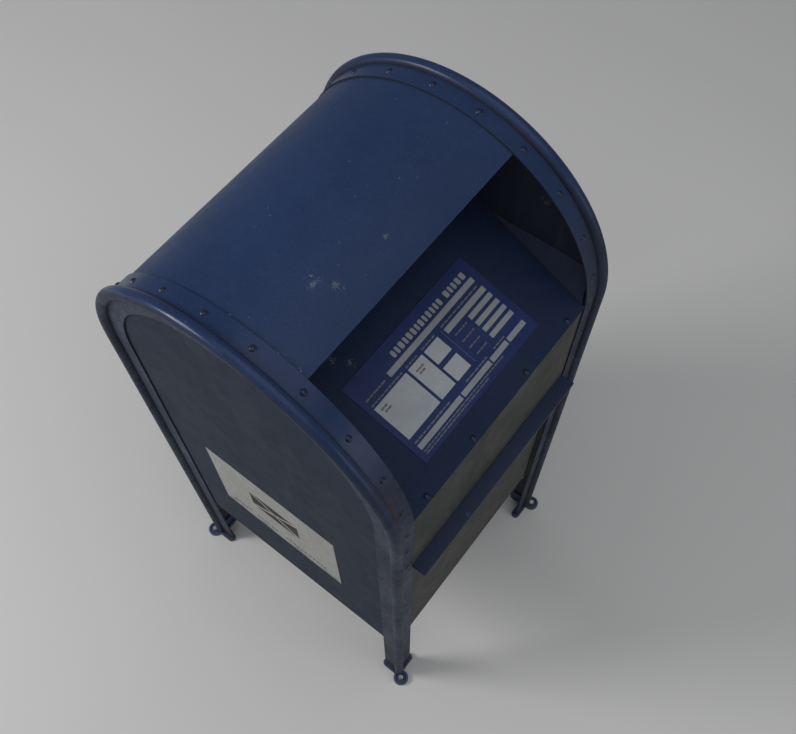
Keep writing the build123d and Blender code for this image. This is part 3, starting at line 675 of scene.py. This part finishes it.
def finish_inside():
    chips = [((0.217, -0.15, 1.06), 0.022), ((0.217, -0.08, 1.11), 0.016)]
    inner_paint = painted("hopper_inner", (0.028, 0.036, 0.058), dust_side=0.05, specks=0.22, wear=0.3,
                          chips=chips, gloss=0.5)
    wear(pair("hopper_side"), inner_paint, 0.0)
    cheek_paint = painted("cheek_blue", (0.042, 0.052, 0.104), dust_side=0.1, specks=0.12, gloss=0.46)
    wear(pair("hopper_cheek"), cheek_paint, 0.0)
    dark_paint = painted("inner_blue", (0.018, 0.026, 0.052), dust_up=0.15, dust_side=0.1,
                         dust_colour=(0.06, 0.058, 0.052), specks=0.10, gloss=0.5)
    wear(["hopper_back", "baffle_plate", "floor_pan", "door_stiffener", "slot_flap"], dark_paint, 0.0)


def finish_hardware(plated, casting):
    wear(["flap_pin", "hinge_block_top", "hinge_block_bottom", "hinge_pin_top",
          "hinge_pin_bottom", "thrust_washer", "crank_disc", "locking_rod_upper", "locking_rod_lower",
          "rod_guide_upper", "rod_guide_lower", "lock_nut", "lock_escutcheon", "keyhole_cover",
          "cover_rivet"], plated, 0.25)
    wear(["lock_plug", "lock_housing"], brass(), 0.25)
    wear(pair("foot_front", "foot_back"), casting, 0.5)


def finish_films():
    """The notice's blue ground and the badges' white one, with grubby marks along the badges' low edge."""
    blue_film = printed_film("notice_blue", NOTICE_BLUE, (0.036, 0.050, 0.110), smudge=0.5, gloss=0.42)
    wear(["notice_plate"], blue_film, 0.2)
    low_edge = [((side * 0.231, y, 0.410), 0.050) for side in (-1, 1) for y in (-0.10, -0.03, 0.05, 0.12)]
    badge_film = printed_film("badge_white", BADGE_WHITE, (0.24, 0.235, 0.21), smudge=0.45, gloss=0.45,
                              grubby=low_edge)
    wear(pair("side_badge"), badge_film, 0.15)


# ---------------------------------------------------------------- floor, light and camera
def floor():
    """Wide plain floor under the feet."""
    shape = bmesh.new()
    bmesh.ops.create_grid(shape, x_segments=24, y_segments=24, size=9.0)
    mesh = bpy.data.meshes.new("floor")
    shape.to_mesh(mesh)
    shape.free()
    ground = bpy.data.objects.new("floor", mesh)
    bpy.context.scene.collection.objects.link(ground)
    mesh.materials.append(pavement())


def area_light(name, place, target, size, watts, colour=(1, 1, 1)):
    lamp = bpy.data.lights.new(name, "AREA")
    lamp.shape = "DISK"
    lamp.size = size
    lamp.energy = watts
    lamp.color = colour
    holder = bpy.data.objects.new(name, lamp)
    bpy.context.scene.collection.objects.link(holder)
    holder.location = place
    holder.rotation_euler = (Vector(target) - Vector(place)).to_track_quat("-Z", "Y").to_euler()


def studio():
    """A low soft light behind on the left, a wide one overhead, a weak one in front, and an even sky."""
    middle = (0, 0, 0.9)
    area_light("key", (-2.3, 2.5, 2.45), middle, 1.5, 76.0, (1.0, 0.98, 0.96))
    area_light("top", (-0.4, -0.6, 4.2), middle, 4.6, 42.0)
    area_light("front", (0.4, -3.6, 1.6), middle, 2.4, 20.0, (1.0, 0.98, 0.93))
    world = bpy.data.worlds.new("studio")
    bpy.context.scene.world = world
    world.use_nodes = True
    sky = world.node_tree.nodes["Background"]
    sky.inputs["Color"].default_value = (0.93, 0.96, 1.0, 1.0)
    sky.inputs["Strength"].default_value = 0.20


def camera():
    lens = bpy.data.cameras.new("camera")
    lens.sensor_width = SENSOR
    lens.lens = LENS
    lens.clip_end = 60.0
    eye = bpy.data.objects.new("camera", lens)
    bpy.context.scene.collection.objects.link(eye)
    turn = Matrix.Rotation(CAMERA_YAW, 4, "Z") @ Matrix.Rotation(math.pi / 2 - CAMERA_PITCH, 4, "X")
    eye.matrix_world = Matrix.Translation(CAMERA_PLACE) @ turn @ Matrix.Rotation(CAMERA_ROLL, 4, "Z")
    bpy.context.scene.camera = eye


zinc_plating = zinc()
casting_paint = cast_paint()
finish_hood()
finish_frames()
finish_faces()
finish_inside()
finish_hardware(zinc_plating, casting_paint)
finish_films()
notice_print()
badge_print("left", LEFT)
badge_print("right", RIGHT)
anchor_bolts(casting_paint, zinc_plating)
floor()
studio()
camera()
bpy.context.scene.view_settings.view_transform = "Standard"
